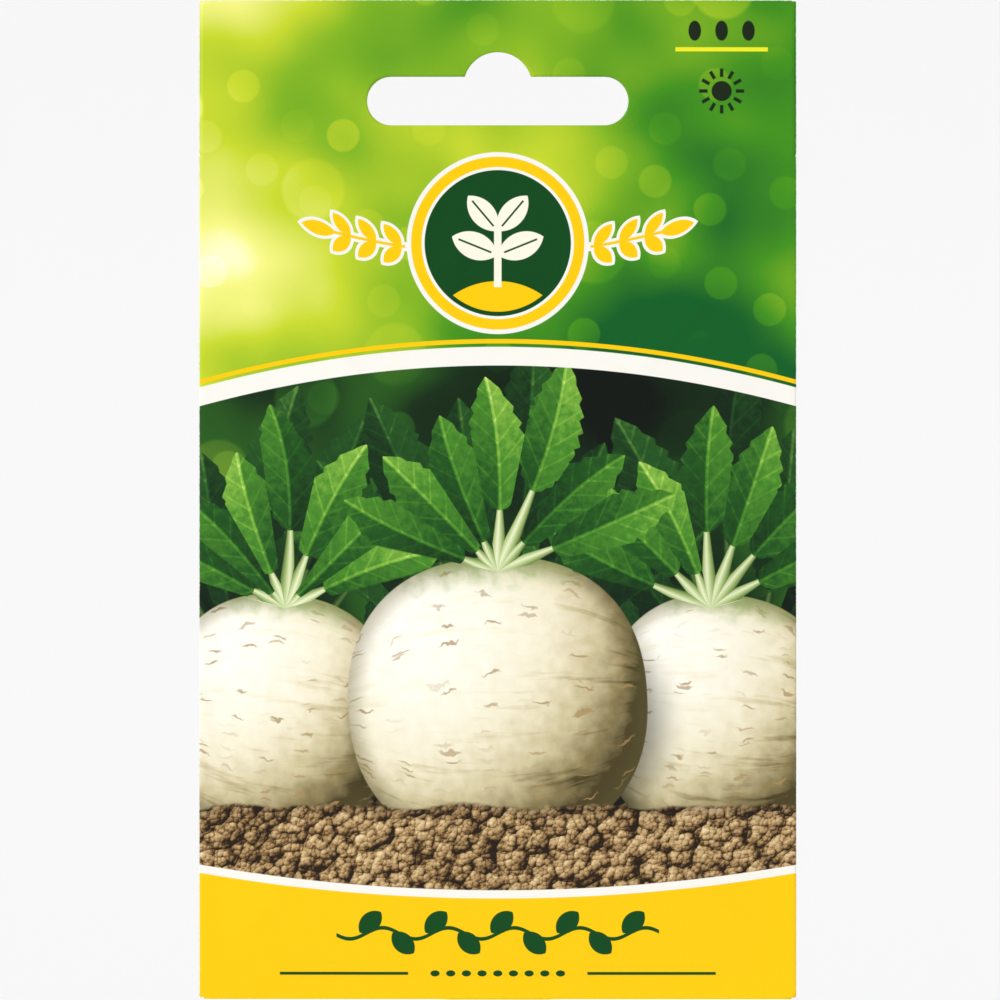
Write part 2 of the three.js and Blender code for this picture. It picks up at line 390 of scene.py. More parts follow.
header_zs = all_lines[all_lines >= header_flap_end - 1e-6]
blank.sheet(flap_xs, header_zs, header_flap_depth, HEADER_FLAP, back=True, slot=True)

foot_zs = body_lines[body_lines <= foot_flap_end + 1e-6]
blank.sheet(flap_xs, foot_zs, foot_flap_depth, FOOT_FLAP, back=True)

back_zs = body_lines[body_lines >= back_foot - 1e-6]
under_xs = x_lines[x_lines >= -lap_half - 1e-6]
lap_xs = x_lines[x_lines <= lap_half + 1e-6]
blank.sheet(under_xs, back_zs, under_depth, BACK, back=True, edge=narrowed)
blank.sheet(lap_xs, back_zs, lap_depth, BACK, back=True, edge=narrowed)

blank.fold(side_line(half_width, back_zs, under_depth),
           side_line(half_width, back_zs, front_depth), (1, 0, 0), FRONT)
blank.fold(side_line(-half_width, back_zs, front_depth),
           side_line(-half_width, back_zs, lap_depth), (-1, 0, 0), FRONT)

for z, depth, outwards in ((all_lines[-1], header_flap_depth, 1), (all_lines[0], foot_flap_depth, -1)):
    level = np.full_like(flap_xs, z)
    front_edge = np.stack([flap_xs * narrowed(level), front_depth(flap_xs, level), level], axis=1)
    flap_edge = np.stack([flap_xs, depth(flap_xs, level), level], axis=1)
    ends = (front_edge, flap_edge) if outwards > 0 else (flap_edge, front_edge)
    blank.fold(*ends, (0, 0, outwards), FRONT)


def piece_of(name, data):
    """An object of the packet with that mesh, which stands in the frame as it is."""
    piece = bpy.data.objects.new(name, data)
    bpy.context.scene.collection.objects.link(piece)
    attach(piece, "root")
    return piece


def thicken(piece, thickness, finishes=0):
    """Gives a sheet its thickness, half to each side of its middle. The side that faces in and
    the cut edges take their materials that many slots further on."""
    wall = piece.modifiers.new("thickness", "SOLIDIFY")
    wall.thickness = thickness * mm
    wall.offset = 0
    wall.use_even_offset = True
    wall.material_offset = finishes
    wall.material_offset_rim = finishes


envelope = piece_of("folded_envelope", blank.mesh("folded_envelope"))
give_zones(envelope.data)
thicken(envelope, paper, finish_count)
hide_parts("printed_envelope")


# ---- The printed envelope: its inks ---------------------------------------------------------
# The blank is printed in full colour on one side and varnished. Every figure is drawn by
# formulas in mm across and up the packet, so that its edges stay sharp at any distance.


def ink(red, green, blue):
    """A printed colour, from its sRGB parts out of 255 to the linear ones that shaders use."""
    parts = np.array([red, green, blue]) / 255
    linear = np.where(parts <= 0.04045, parts / 12.92, ((parts + 0.055) / 1.055) ** 2.4)
    return (*(float(part) for part in linear), 1.0)


def feed(place, value):
    """Puts a number, a colour or another node's output into a node's input."""
    if isinstance(value, Term):
        place.id_data.links.new(value.socket, place)
    else:
        place.default_value = value


class Term:
    """A value or colour that changes over the surface. Its arithmetic places Math nodes."""

    def __init__(self, socket):
        self.socket = socket
        self.tree = socket.id_data

    def math(self, operation, *others, clamp=False):
        node = self.tree.nodes.new("ShaderNodeMath")
        node.operation = operation
        node.use_clamp = clamp
        for place, value in zip(node.inputs, (self, *others)):
            feed(place, value)
        return Term(node.outputs["Value"])

    def __add__(self, other):
        return self.math("ADD", other)

    __radd__ = __add__

    def __sub__(self, other):
        return self.math("SUBTRACT", other)

    def __rsub__(self, other):
        return self.math("MULTIPLY_ADD", -1.0, other)

    def __mul__(self, other):
        return self.math("MULTIPLY", other)

    __rmul__ = __mul__

    def __truediv__(self, other):
        return self.math("DIVIDE", other)

    def __pow__(self, other):
        return self.math("POWER", other)

    def __abs__(self):
        return self.math("ABSOLUTE")

    def plus(self, factor, added):
        """This value times factor, plus added."""
        return self.math("MULTIPLY_ADD", factor, added)

    def least(self, other):
        return self.math("MINIMUM", other)

    def most(self, other):
        return self.math("MAXIMUM", other)

    def off_nearest(self, pitch):
        """How far this is from the nearest whole number of pitches."""
        return self.math("WRAP", pitch / 2, pitch / -2)

    def inside(self, soft=0.08):
        """1 where this distance to an outline is below 0, and 0 where it is above, with a blend
        between them that is soft wide."""
        return self.math("MULTIPLY_ADD", -1 / soft, 0.5, clamp=True)

    def rise(self, start, end):
        """0 at start and 1 at end, with an S-shaped rise between them."""
        node = self.tree.nodes.new("ShaderNodeMapRange")
        node.interpolation_type = "SMOOTHSTEP"
        feed(node.inputs["Value"], self)
        node.inputs["From Min"].default_value = min(start, end)
        node.inputs["From Max"].default_value = max(start, end)
        node.inputs["To Min"].default_value = float(start > end)
        node.inputs["To Max"].default_value = float(start < end)
        return Term(node.outputs["Result"])

    def colours(self, *stops):
        """A run of inks along this value: each stop is (value, ink)."""
        node = self.tree.nodes.new("ShaderNodeValToRGB")
        elements = node.color_ramp.elements
        while len(elements) < len(stops):
            elements.new(0.5)
        for element, (position, colour) in zip(elements, stops):
            element.position = position
            element.color = colour
        feed(node.inputs["Fac"], self)
        return Term(node.outputs["Color"])


def joined(x, z):
    """The pair (x, z) as one vector."""
    node = x.tree.nodes.new("ShaderNodeCombineXYZ")
    feed(node.inputs["X"], x)
    feed(node.inputs["Y"], z)
    return Term(node.outputs["Vector"])


def length(x, z):
    """The distance from the origin to (x, z)."""
    node = x.tree.nodes.new("ShaderNodeVectorMath")
    node.operation = "LENGTH"
    feed(node.inputs[0], joined(x, z))
    return Term(node.outputs["Value"])


def noise(x, z, scale, detail, roughness=0.5):
    """Smooth noise between 0 and 1, with scale lumps to the mm."""
    node = x.tree.nodes.new("ShaderNodeTexNoise")
    node.noise_dimensions = "2D"
    feed(node.inputs["Vector"], joined(x, z))
    node.inputs["Scale"].default_value = scale
    node.inputs["Detail"].default_value = detail
    node.inputs["Roughness"].default_value = roughness
    return Term(node.outputs["Fac"])


def cells(x, z, scale, spread=1.0):
    """Scattered cells, scale to the mm: the distance to the nearest one's middle, in cells, its
    random colour's parts, and its middle's place."""
    node = x.tree.nodes.new("ShaderNodeTexVoronoi")
    node.voronoi_dimensions = "2D"
    feed(node.inputs["Vector"], joined(x, z))
    node.inputs["Scale"].default_value = scale
    node.inputs["Randomness"].default_value = spread
    luck = parts_of(Term(node.outputs["Color"]))
    return Term(node.outputs["Distance"]), luck, parts_of(Term(node.outputs["Position"]))


def parts_of(vector):
    """The parts of a vector or colour as three values."""
    node = vector.tree.nodes.new("ShaderNodeSeparateXYZ")
    feed(node.inputs[0], vector)
    return tuple(Term(output) for output in node.outputs)


def chance(value):
    """A random number from 0 to 1 for each value."""
    node = value.tree.nodes.new("ShaderNodeTexWhiteNoise")
    node.noise_dimensions = "1D"
    feed(node.inputs["W"], value)
    return Term(node.outputs["Value"])


def over(below, above, mask):
    """The ink above printed over the ink below, wherever the mask is 1."""
    node = mask.tree.nodes.new("ShaderNodeMix")
    node.data_type = "RGBA"
    feed(node.inputs[0], mask)
    feed(node.inputs[6], below)
    feed(node.inputs[7], above)
    return Term(node.outputs[2])


def effect(inputs, outputs):
    """Makes a shader node group, built once, from a function of its inputs. inputs maps each
    name to its usual value. outputs maps each name to Float or Color. The function that comes
    back places the group in the tree of the values it is given, and returns its outputs."""

    def build(draw):
        group = bpy.data.node_groups.new(draw.__name__, "ShaderNodeTree")
        for name, usual in inputs.items():
            kind = "Float" if isinstance(usual, (int, float)) else "Color"
            socket = group.interface.new_socket(name, in_out="INPUT", socket_type="NodeSocket" + kind)
            socket.default_value = usual
        for name, kind in outputs.items():
            group.interface.new_socket(name, in_out="OUTPUT", socket_type="NodeSocket" + kind)
        entry, end = group.nodes.new("NodeGroupInput"), group.nodes.new("NodeGroupOutput")
        results = draw(*(Term(entry.outputs[name]) for name in inputs))
        results = results if isinstance(results, tuple) else (results,)
        for name, result in zip(outputs, results):
            feed(end.inputs[name], result)

        def place(*values):
            tree = next(value.tree for value in values if isinstance(value, Term))
            node = tree.nodes.new("ShaderNodeGroup")
            node.node_tree = group
            for socket, value in zip(node.inputs, values):
                feed(socket, value)
            made = [Term(socket) for socket in node.outputs]
            return made[0] if len(made) == 1 else made

        return place

    return build


def place_in_mm(tree):
    """A point's place in the packet's frame: to the right, backwards and up."""
    node = tree.nodes.new("ShaderNodeTexCoord")
    return tuple(part * (1 / mm) for part in parts_of(Term(node.outputs["Object"])))


def turned(x, z, degrees):
    """(x, z) as measured along and beside a line at that angle from the level."""
    c, s = math.cos(math.radians(degrees)), math.sin(math.radians(degrees))
    return x.plus(c, z * s), z.plus(c, x * -s)


@effect({"Along": 0, "Beside": 0, "Size": 4, "Width": 1}, {"Distance": "Float"})
def leaf(along, beside, size, width):
    """The distance outside a pointed leaf from (0, 0) to (size, 0), which is width wide to each
    side. It is where two discs of equal radius overlap."""
    radius = (size * size / 4 + width * width) / (2 * width)
    return length(along - size / 2, abs(beside) + (radius - width)) - radius


@effect({"X": 0, "Z": 0, "Half Width": 1, "Half Height": 1}, {"Distance": "Float"})
def bar(x, z, half_across, half_up):
    """The distance outside a level bar about (0, 0), with square ends."""
    return (abs(x) - half_across).most(abs(z) - half_up)


@effect({"X": 0, "Z": 0, "Half Width": 1, "Half Height": 1}, {"Distance": "Float"})
def oval(x, z, half_across, half_up):
    """How far outside an oval about (0, 0), in shares of its half sizes."""
    return length(x / half_across, z / half_up) - 1


@effect({"X": 0, "Z": 0, "Degrees": 30, "Size": 1.5}, {"Distance": "Float"})
def sun(x, z, degrees, size):
    """The distance outside a sun about (0, 0): a disc of radius size, and short rays round it,
    so many degrees apart."""
    reach = length(x, z)
    half_step = degrees * (math.pi / 360)
    off = x.math("ARCTAN2", z).math("WRAP", half_step, half_step * -1)
    rays = bar(reach * off, reach - size * 1.82, size * 0.175, size * 0.42)
    return rays.least(reach - size)


white = ink(242, 240, 232)
cream = ink(246, 242, 222)
golden = ink(248, 200, 0)
dark_green = ink(6, 70, 24)
near_black = ink(22, 36, 18)


# ---- The printed envelope: its front --------------------------------------------------------
# Blurred foliage with a round seedling badge on the header, a picture of white roots in a
# garden bed below it, between a white arch and a white sag, and a golden band with a vine.

# Where the printed figures stand, in mm across and up the packet. The arch and the sag leave the
# level by their curve times the square of the way from the middle.
low_sun = (-34, -33)
corner_x = 30
badge_height = -25.6
arch_height = -39.5
arch_curve = 0.0034
far_soil_height = -88.5
near_soil_height = -99.5
sag_height = -112.2
sag_curve = 0.0021
vine_height = -118
rule_height = -123.4


@effect({"X": 0, "Z": 0}, {"Light": "Float"})
def soft_leaves(x, z):
    """Foliage far out of focus, as a light value: slow noise with round soft spots of light of
    two sizes."""
    light = noise(x + 31, z, 0.03, 2.0, 0.45) + noise(x, z + 57, 0.11, 0.0) * 0.10
    for angle, scale, share in ((27, 0.068, 0.22), (61, 0.13, 0.16)):
        reach, luck, _ = cells(*turned(x + 9, z - 4, angle), scale, 0.55)
        light = (reach.rise(0.31, 0.26) * (luck[0] - 0.45).most(0.0)).plus(share, light)
    return light


fan_inputs = {"X": 0, "Z": 0, "Root X": 0, "Root Z": 0, "Count": 6, "Spread": 90, "Tip": 40,
              "Blade": 20, "Width": 4, "Turn": 0, "Seed": 0}
fan_outputs = {"Stalks": "Float", "Stalk Light": "Float", "Blades": "Float", "Blade Light": "Float"}


@effect(fan_inputs, fan_outputs)
def leaf_fan(x, z, root_x, root_z, count, spread, tip, blade, width, turn, seed):
    """A fan of leaves about a root's middle. Each has a bending stalk that thins upwards, and a
    pointed blade with toothed edges, a midrib and side veins. Gives masks and light values. A
    blade's half width goes as share ** 0.6 * (1 - share) ** 0.8, which is 0.384 at its widest."""
    across, up = x - root_x, z - root_z
    reach = length(across, up)
    angle = across.math("ARCTAN2", up)
    half_spread = spread * (math.pi / 360)
    step = half_spread * 2 / count
    number = (angle / step + turn).math("ROUND")
    luck = chance(number + seed)
    bend = (reach / tip).math("POWER", 2.0) * 0.9 - 0.3
    off = angle - (number - turn) * step + (luck - 0.5) * step * bend
    along = reach * off.math("COSINE")
    beside = reach * off.math("SINE")
    side = abs(beside)
    within = (abs(angle) - half_spread).inside(0.02)
    start = (chance(number + seed + 40.0) * 0.36 + 0.7) * tip - blade
    from_start = along - start
    share = (from_start / blade).math("ADD", 0.0, clamp=True)
    half = share**0.6 * (1 - share) ** 0.8 * (width / 0.384)
    tooth = (side * 0.5 + from_start).math("PINGPONG", 0.9)
    blades = (side - half * (tooth * 0.2 + 0.86) + 0.08).inside(0.12) * within
    vein = (from_start - side * 1.1).math("PINGPONG", 1.5).rise(0.34, 0.0)
    rib = side.rise(0.34, 0.08)
    light = beside.rise(-0.5, 0.5) * 0.22 + share * 0.35 + luck * 0.28
    light = vein * 0.10 + rib * 0.22 + light
    thick = (along / start).plus(-0.85, 1.25)
    stalks = (side - thick).inside(0.12) * (from_start - 3).inside(0.5) * within
    stalk_light = (abs(beside + thick * 0.25) / thick).plus(-0.7, 0.9) + luck * 0.1
    return stalks, stalk_light, blades, light


turnip_inputs = {"X": 0, "Z": 0, "Half Width": 14, "Half Height": 12, "Seed": 0}


@effect(turnip_inputs, {"Mask": "Float", "Ink": "Color"})
def turnip(across, up, half_across, half_up, seed):
    """A round white root about (0, 0). Its outline is |u| ** 2.3 + |v| ** 2.3 = 1, in shares of
    its half sizes. It is lit from the upper left as a ball, with fine rings, small brown marks
    across it and a green shoulder."""
    u, v = across / half_across, up / half_up
    reach = (abs(u) ** 2.3 + abs(v) ** 2.3) ** (1 / 2.3)
    mask = ((reach - 1) * half_across).inside(0.14)
    bulge = (1 - reach * reach).most(0.0).math("SQRT")
    light = u * -0.36 + v * 0.36 + bulge * 0.52 + 0.12
    level = v / (1.02 - u * u * 0.75).most(0.2).math("SQRT") * 11
    ring = noise(u * 1.3 + seed, level, 1.0, 3.0, 0.6)
    mottle = noise(across + seed, up, 0.5, 2.0)
    light = light - ring.rise(0.54, 0.76) * 0.12 + mottle * 0.18 - 0.05
    inks = light.colours((0.0, ink(72, 62, 32)), (0.2, ink(142, 128, 86)),
                         (0.42, ink(206, 194, 154)), (0.62, ink(238, 230, 202)),
                         (0.92, ink(255, 252, 240)))
    distance, luck, _ = cells(u * 3.4 + seed, (level + mottle * 1.4) * 1.5, 1.0)
    marks = (distance + ring * 0.4).rise(0.46, 0.30) * luck[0].rise(0.5, 1.0)
    inks = over(inks, ink(164, 134, 84), marks * 0.8)
    shoulder = (v + mottle * 0.25).rise(0.86, 1.12)
    inks = over(inks, ink(150, 172, 92), shoulder * 0.8)
    return mask, over(inks, ink(84, 80, 44), reach.rise(0.84, 1.0) * 0.45)


@effect({"X": 0, "Z": 0}, {"Ink": "Color"})
def soil(x, z):
    """Crumbs of sandy soil in three sizes, each lit on its upper left side."""
    light = noise(x, z, 0.9, 3.0, 0.7) * 0.36 + noise(x, z, 0.07, 1.0).plus(0.34, -0.01)
    for scale, strength in ((0.42, 0.42), (0.95, 0.34), (1.9, 0.24)):
        near_x = x + 7 * scale
        distance, luck, middle = cells(near_x, z, scale)
        slope = (near_x - middle[0]).plus(-0.5, (z - middle[1]) * 0.7)
        light = slope.plus(strength * scale, light) + luck[0] * 0.10
        light = light - distance.rise(0.42, 0.75) * (strength * 0.7)
    return light.colours((0.05, ink(36, 24, 12)), (0.28, ink(104, 78, 46)), (0.48, ink(166, 134, 88)),
                         (0.72, ink(212, 184, 136)), (1.0, ink(242, 224, 184)))


bed_inks = ((0.30, ink(4, 14, 6)), (0.48, ink(14, 44, 16)), (0.62, ink(40, 92, 26)),
            (0.80, ink(104, 146, 40)))
shaded_leaf_inks = ((0.0, ink(5, 18, 8)), (0.4, ink(14, 46, 18)), (0.75, ink(34, 84, 30)),
                    (1.0, ink(88, 134, 56)))
leaf_inks = ((0.0, ink(12, 40, 14)), (0.3, ink(30, 84, 26)), (0.6, ink(74, 138, 40)),
             (0.85, ink(140, 190, 70)), (1.0, ink(206, 228, 130)))
shaded_stalk_inks = ((0.0, ink(14, 34, 12)), (0.5, ink(38, 70, 28)), (1.0, ink(84, 114, 56)))
stalk_inks = ((0.0, ink(70, 96, 44)), (0.5, ink(158, 182, 110)), (1.0, ink(232, 238, 196)))


@effect({"X": 0, "Z": 0, "Light": 0.5}, {"Ink": "Color"})
def header_ground(x, z, light):
    """The header's blurred foliage, lighter to the left, with low sun through it."""
    from_sun = length(x - low_sun[0], z - low_sun[1])
    light = light + x.plus(-0.004, z * 0.0016) + from_sun.rise(28, 0) * 0.22
    return light.colours((0.25, ink(8, 92, 34)), (0.40, ink(64, 142, 24)), (0.55, ink(128, 178, 30)),
                         (0.73, ink(196, 212, 44)), (0.90, ink(240, 240, 130)),
                         (1.0, ink(254, 254, 226)))


@effect({"X": 0, "Z": 0, "Light": 0.5}, {"Ink": "Color"})
def bed_background(x, z, light):
    """Dark foliage behind the bed."""
    light = light + x.plus(0.0012, (z + 60) * 0.0024)
    return light.colours(*bed_inks)


# Each fan: its root, leaves, spread in degrees, reach of the tips, length and half width of the
# blades, the share of a step that they are shifted by, and a seed. A fan that is not at x = 0
# stands on both sides.
shaded_fans = (((33, -88), 7, 116, 47, 22, 4.8, 0.3, 5.0), ((0, -88), 7, 100, 50, 24, 4.9, 0.5, 9.0))
lit_fans = (((28.5, -74.5), 7, 150, 27, 17, 3.9, 0.1, 31.0), ((0, -69.6), 7, 156, 29, 18, 4.1, 0.0, 2.0))


def fans_over(picture, x, z, fans, blade_inks, stem_inks):
    """Fans of leaves over the picture, with fine mottling that is the same for all."""
    mottle = noise(x, z, 0.9, 2.0, 0.6).plus(0.3, -0.15)
    far_side = x.math("SIGN")
    for root, *shape, seed in fans:
        across, luck = (abs(x), far_side * 13 + seed) if root[0] else (x, seed)
        stalks, stalk_light, blades, light = leaf_fan(across, z, *root, *shape, luck)
        picture = over(picture, stalk_light.colours(*stem_inks), stalks)
        picture = over(picture, (light + mottle).colours(*blade_inks), blades)
    return picture


@effect({"Below": white, "X": 0, "Z": 0}, {"Ink": "Color"})
def shaded_leaves(picture, x, z):
    """The leaves at the back of the bed, out of the sun."""
    return fans_over(picture, x, z, shaded_fans, shaded_leaf_inks, shaded_stalk_inks)


@effect({"Below": white, "X": 0, "Z": 0}, {"Ink": "Color"})
def lit_leaves(picture, x, z):
    """The leaves of the three roots."""
    return fans_over(picture, x, z, lit_fans, leaf_inks, stalk_inks)


def far_soil(picture, x, z):
    """The soil behind the roots."""
    line = z - far_soil_height + noise(x, z + 30, 0.2, 2.0) * 2.4
    return over(picture, soil(x, z), line.inside(0.5))


@effect({"Below": white, "X": 0, "Z": 0}, {"Ink": "Color"})
def bed_roots(picture, x, z):
    """The three roots, each with a soft shadow round it. The middle one is in front."""
    far_side = x.math("SIGN")
    for root_x, root_z, half, tilt, seed in ((far_side * 29.5, -89, (15.8, 16.4), -6, far_side * 3 + 5),
                                             (0.0, -87, (20.0, 19.4), 3, 1.0)):
        across, up = turned(x - root_x, z - root_z, tilt)
        shadow = length((across - 1.5) / (half[0] + 4), (up + 3.5) / (half[1] + 2))
        picture = over(picture, ink(8, 12, 4), shadow.rise(1.0, 0.72) * 0.7)
        mask, inks = turnip(across, up, *half, seed)
        picture = over(picture, inks, mask)
    return picture


def near_soil(picture, x, z):
    """The soil in front of the roots, dark where it meets them."""
    line = z - near_soil_height + noise(x, z, 0.12, 3.0) * 3
    earth = over(soil(x + 40, z + 9), ink(20, 14, 8), line.rise(-2.4, 0.4) * 0.5)
    return over(picture, earth, line.inside(0.4))


def arch(picture, above, x, z):
    """The white arch over the picture, with a thin golden rule, and the header above it."""
    line = z - arch_height + x * x * arch_curve
    picture = over(above, picture, (line + 2.4).inside())
    picture = over(picture, white, (abs(line + 1.25) - 1.25).inside())
    return over(picture, golden, (abs(line - 0.75) - 0.3).inside())


def sprig(picture, x, z, start, pairs, pitch):
    """A golden sprig with a white edge along z = 0: a stem with leaves in pairs, and a leaf at
    its end."""
    number = ((x - start) / pitch).math("FLOOR").least(pairs - 1).most(0.0)
    from_joint = x - number * pitch - start - 0.5
    along, beside = turned(from_joint, abs(z), 47)
    pair = leaf(along, beside, 3.5, 0.85)
    end = start + pairs * pitch
    last = leaf(x - end + 0.9, z, 4.6, 0.95)
    stem = bar(x - (start + end) / 2, z, (end - start) / 2, 0.2)
    outline = pair.least(last).least(stem)
    return over(over(picture, white, (outline - 0.4).inside()), golden, outline.inside())


def badge(picture, x, z):
    """A round badge: a golden ring on white round a dark green field, with a seedling that
    stands on a mound, and a golden sprig on each side."""
    up = z - badge_height
    reach = length(x, up)
    side_x = abs(x)
    picture = sprig(picture, side_x, up - side_x * side_x * 0.006 + 1.4, 12.4, 3, 3.4)
    for radius, colour in ((12.2, white), (11.6, golden), (10.2, white), (9.8, dark_green)):
        picture = over(picture, colour, (reach - radius).inside())
    mound = (length(x, up + 15.5) - 10.4).most(reach - 9.2)
    picture = over(picture, golden, mound.inside())
    picture = over(picture, cream, bar(x, up + 1.5, 0.5, 4.4).inside())
    for lift, lean, size, width in ((-1.6, 22, 6.6, 1.8), (1.6, 50, 6.2, 1.6)):
        along, beside = turned(side_x, up - lift, lean)
        picture = over(picture, cream, leaf(along, beside, size, width).inside())
        rib = bar(along - size / 2, beside, size * 0.36, 0.13)
        picture = over(picture, dark_green, rib.inside())
    return picture


def corner_marks(picture, x, z):
    """Small marks for the plant's needs in the header's corner: three seeds over a rule, and a
    sun below it."""
    x = x - corner_x
    seeds = oval(x.off_nearest(3.6), z - 2.9, 0.85, 1.35).most(abs(x) - 5.4)
    picture = over(picture, near_black, seeds.inside(0.1))
    picture = over(picture, ink(236, 232, 40), bar(x, z - 0.4, 6.2, 0.28).inside())
    return over(picture, near_black, sun(x, z + 5.2, 30, 1.35).inside())


@effect({"Below": golden, "X": 0, "Z": 0}, {"Ink": "Color"})
def vine(picture, x, z):
    """A waving vine with leaves to both sides by turns, over a row of small seeds between
    rules, in dark green on the golden band."""
    up = z - vine_height
    pitch = 4.4
    wave = (x * (math.pi / pitch)).math("SINE") * 0.75
    stem = bar(x, up - wave, 21.6, 0.26)
    number = (x / pitch).math("ROUND")
    flip = abs(number).math("MODULO", 2.0).plus(-2.0, 1.0)
    along, beside = turned(x - number * pitch + 0.9, (up - 0.1) * flip, 44)
    blade = leaf(along, beside, 4.0, 1.3).inside() * (abs(number) - 4.5).inside()
    picture = over(picture, dark_green, stem.inside().most(blade))
    up = z - rule_height
    seeds = oval(x.off_nearest(2.1), up, 0.62, 0.42).most(abs(x) - 9.4)
    rules = bar(abs(x) - 20.6, up, 8.6, 0.2)
    return over(picture, dark_green, seeds.least(rules).inside())


def foot_band(picture, x, z):
    """The picture's white lower border, which sags, and the golden band with its vine."""
    line = z - sag_height - x * x * sag_curve
    picture = over(picture, white, line.inside())
    picture = over(picture, golden, (line + 1.1).inside())
    return vine(picture, x, z)


def header_zone(x, z):
    ground = header_ground(x, z, soft_leaves(x, z))
    return corner_marks(badge(ground, x, z), x, z)


def leaf_zone(x, z):
    light = soft_leaves(x, z)
    picture = lit_leaves(shaded_leaves(bed_background(x, z, light), x, z), x, z)
    return arch(picture, header_ground(x, z, light), x, z)


def crown_zone(x, z):
    picture = shaded_leaves(bed_background(x, z, soft_leaves(x, z)), x, z)
    return lit_leaves(bed_roots(far_soil(picture, x, z), x, z), x, z)


def root_zone(x, z):
    return near_soil(bed_roots(soil(x, z), x, z), x, z)


def band_zone(x, z):
    return foot_band(soil(x + 40, z + 9), x, z)


# ---- The printed envelope: its back ---------------------------------------------------------
# Seen from behind, with x to the left. The panels are white, with a thin green frame round signs
# for sun, water, depth and distance, a strip of boxes for the months and dotted lines for notes.
# The flaps carry on the front's greens and gold.

sign_pitch = 17
sign_height = -44
month_pitch = 5
month_height = -64
sow_months = (-20, -5)
harvest_months = (5, 25)
back_frame = (34, -31, -110)  # its half width, and the heights that it runs between
note_lines = (-76, -104, 4, 0.9)  # the highest, the lowest, and how far lines and dots are apart


def header_flap_zone(x, z):
    """The header's foliage, down to a golden rule and a white edge."""
    picture = header_ground(x, z, soft_leaves(x, z))
    line = z - header_flap_end
    picture = over(picture, white, (line - 3.0).inside())
    return over(picture, golden, (abs(line - 3.5) - 0.35).inside())


def foot_flap_zone(x, z):
    """Gold, with the vine again, a little lower."""
    return vine(golden, x, z + 1.8)


def signs(picture, x, z):
    """Four round signs in a row: sun, water, depth and distance."""
    number = (x / sign_pitch).math("FLOOR")
    within = (abs(x) - 2 * sign_pitch).inside()
    x = x - (number + 0.5) * sign_pitch
    z = z - sign_height
    reach = length(x, z)
    picture = over(picture, golden, (abs(reach - 6.1) - 0.22).inside() * within)
    picture = over(picture, dark_green, (reach - 5.3).inside() * within)

    light = sun(x, z, 36, 1.75)
    water = leaf(z + 3.0, x, 6.6, 2.1)

    along, beside = turned(abs(x), z - 0.7, 52)
    seedling = bar(x, z - 0.6, 3.6, 0.2).least(leaf(along, beside, 3.0, 0.8))
    depth = seedling.least(oval(x, z + 2.2, 0.8, 1.1))

    heads = (abs(z - 1.7) + abs(x) - 3.4).most(2.4 - abs(x))
    arrow = bar(x, z - 1.7, 2.6, 0.2).least(heads)
    distance = arrow.least(oval(abs(x) - 2.7, z + 1.3, 0.9, 1.2))

    for place, figure in ((1, light), (0, water), (-1, depth), (-2, distance)):
        chosen = (abs(number - place) - 0.5).inside()
        picture = over(picture, cream, figure.inside() * chosen)
    return picture


def months(picture, x, z):
    """Two rows of twelve boxes, filled green for sowing above and golden for lifting below."""
    z = z - month_height
    box = bar((x + month_pitch / 2).off_nearest(month_pitch), abs(z) - 3, 2.2, 2.2)
    strip = (abs(x) - 6 * month_pitch).inside()
    # Seen from behind, the year runs towards -X.
    sow = (abs(x + sum(sow_months) / 2) - (sow_months[1] - sow_months[0]) / 2).most(-1 * z)
    lift = (abs(x + sum(harvest_months) / 2) - (harvest_months[1] - harvest_months[0]) / 2).most(z)
    picture = over(picture, ink(92, 158, 48), box.most(sow).inside())
    picture = over(picture, golden, box.most(lift).inside())
    return over(picture, dark_green, (abs(box) - 0.13).inside() * strip)


def notes(picture, x, z):
    """Dotted lines for the gardener's notes."""
    high, low, pitch, dot_pitch = note_lines
    block = bar(x, z - (high + low) / 2, 29, (high - low) / 2 + 0.5)
    dots = length(x.off_nearest(dot_pitch), z.off_nearest(pitch)) - 0.2
    return over(picture, ink(96, 122, 92), dots.most(block).inside(0.05))


def back_zone(x, z):
    """White paper with two large pale leaves, the frame, the signs, the months and the notes."""
    along, beside = turned(abs(x), z + 109, 55)
    picture = over(white, ink(222, 232, 206), leaf(along, beside, 46, 9).inside())
    half, high, low = back_frame
    border = bar(x, z - (high + low) / 2, half, (high - low) / 2)
    picture = over(picture, dark_green, (abs(border) - 0.2).inside())
    return notes(months(signs(picture, x, z), x, z), x, z)


# ---- The printed envelope: its finish -------------------------------------------------------
# Coated paper of about 100 grams, printed in four colours and varnished. It is smooth but not
# flat: fibres show through the coating, and the ink is a little worn along the outer edges.


@effect({"X": 0, "Y": 0, "Z": 0}, {"Fibres": "Float", "Cloud": "Float"})
def paper_fibres(x, y, z):
    """Paper's surface: fine fibres, as noise drawn out along two directions, and the slow
    unevenness of the pulp."""
    along, beside = turned(x + y, z, 24)
    fibres = noise(along * 0.22, beside, 3.4, 1.0) + noise(along, beside * 0.25, 2.9, 1.0)
    return fibres * 0.5, noise(x + y, z, 0.11, 1.0)


@effect({"Ink": (1, 1, 1, 1), "X": 0, "Y": 0, "Z": 0},
        {"Ink": "Color", "Roughness": "Float", "Height": "Float"})
def varnished(inked, x, y, z):
    """Print under varnish: its cloudy gloss, the fibres' relief, and the bare paper that shows
    in specks along the packet's outer edges."""
    fibres, cloud = paper_fibres(x, y, z)
    edge = (half_width - abs(x)).least(top - z).least(z - foot)
    bare = (edge * 5 + fibres * 1.5 - 0.95).rise(0.12, -0.06) * 0.5
    roughness = cloud.plus(0.16, fibres * 0.08) + bare * 0.3 + 0.28
    return over(inked, white, bare), roughness, fibres


